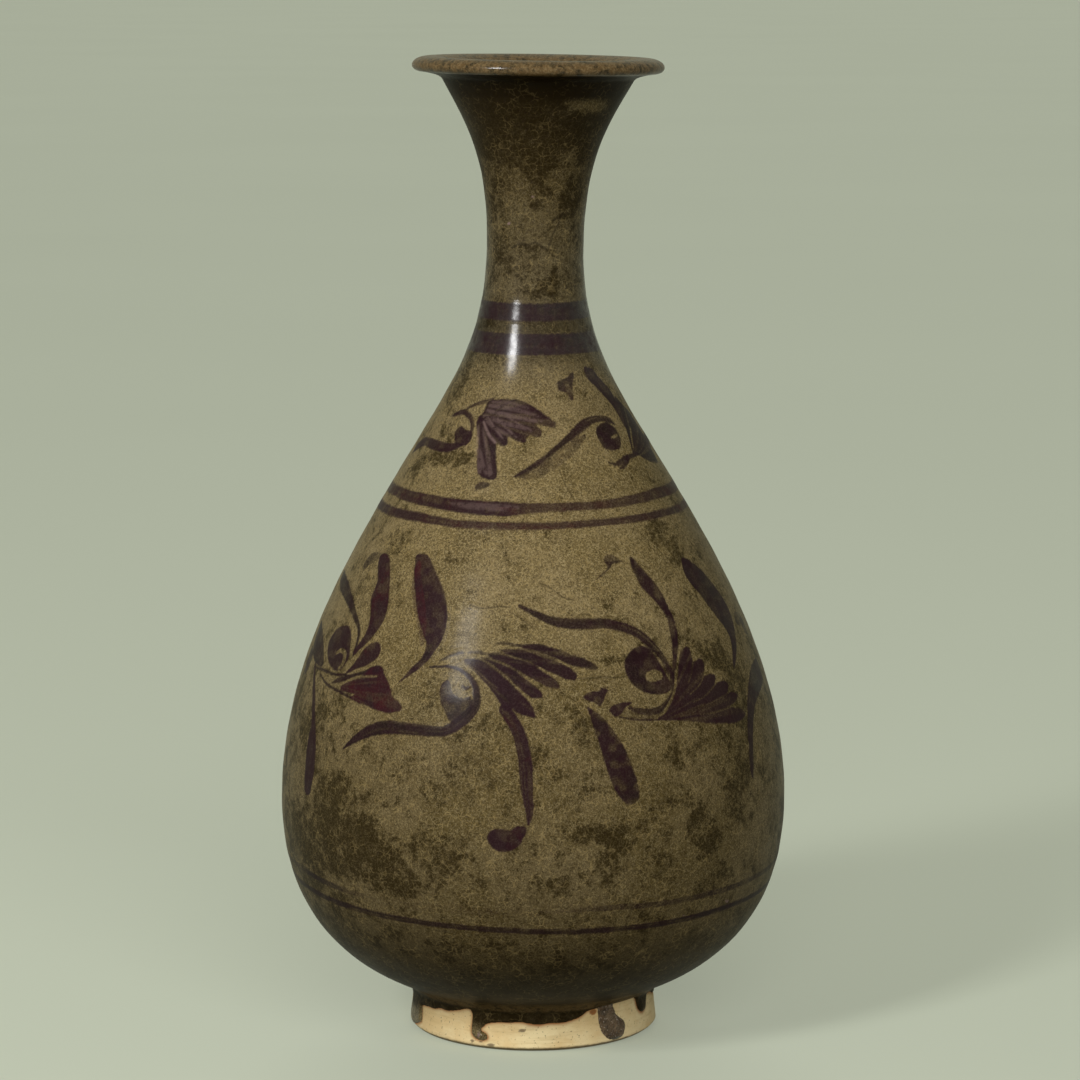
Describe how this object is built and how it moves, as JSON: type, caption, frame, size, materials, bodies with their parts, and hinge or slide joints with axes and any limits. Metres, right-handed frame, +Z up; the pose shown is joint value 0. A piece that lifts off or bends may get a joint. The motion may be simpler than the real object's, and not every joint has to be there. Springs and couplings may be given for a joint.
{
  "type": "pear-shaped vase",
  "caption": "Pear-shaped stoneware vase with a slender neck, flared rolled lip and bare clay foot, olive-brown glaze and brushed iron-brown floral sprays.",
  "frame": {"origin": "on the floor in the middle of the foot, at the base of the bounding box", "axes": "+Z up along the vase's axis, -Y towards the pictured side, +X to the right of the picture"},
  "size_m": [0.151, 0.1517, 0.29],
  "materials": {
    "bare_clay": "unglazed buff stoneware, dry and finely specked",
    "body_clay": "unglazed buff stoneware, thrown",
    "luting_slip": "dry clay slip",
    "glaze": "glossy olive-brown glaze with fine khaki speckle",
    "run_glaze": "thick glossy grey-brown glaze",
    "iron_pigment": "iron-brown brushwork in the glaze, satin gloss"
  },
  "bodies": {
    "root": {"foot_ring": "bare_clay", "lower_body": "body_clay", "upper_body": "body_clay", "neck": "body_clay", "mouth": "body_clay", "foot_luting": "luting_slip", "belly_luting": "luting_slip", "neck_luting": "luting_slip", "mouth_luting": "luting_slip", "glaze_coat": "glaze", "glaze_run_wide": "run_glaze", "glaze_run_hooked": "run_glaze", "glaze_run_blistered": "run_glaze", "glaze_run_pointed": "run_glaze", "glaze_run_back_left": "run_glaze", "glaze_run_back_right": "run_glaze", "neck_line_upper": "iron_pigment", "neck_line_lower": "iron_pigment", "shoulder_line_upper": "iron_pigment", "shoulder_line_lower": "iron_pigment", "base_line_upper": "iron_pigment", "base_line_lower": "iron_pigment", "belly_left_spray": "iron_pigment", "belly_left_leaf": "iron_pigment", "belly_centre_spray": "iron_pigment", "belly_centre_blob": "iron_pigment", "belly_right_tick": "iron_pigment", "belly_right_spray": "iron_pigment", "belly_right_blob": "iron_pigment", "belly_right_hanging_leaf": "iron_pigment", "belly_far_leaf": "iron_pigment", "belly_edge_stroke": "iron_pigment", "shoulder_left_spray": "iron_pigment", "shoulder_dot": "iron_pigment", "shoulder_right_spray": "iron_pigment", "shoulder_leaf": "iron_pigment", "shoulder_right_fan": "iron_pigment", "shoulder_mark": "iron_pigment", "back_belly_spray_left": "iron_pigment", "back_belly_spray_right": "iron_pigment", "back_belly_hanging_leaf_left": "iron_pigment", "back_belly_hanging_leaf_right": "iron_pigment", "back_belly_leaf": "iron_pigment", "back_belly_edge_leaf": "iron_pigment", "back_shoulder_spray_left": "iron_pigment", "back_shoulder_spray_right": "iron_pigment", "back_shoulder_leaf": "iron_pigment"}
  },
  "joints": []
}
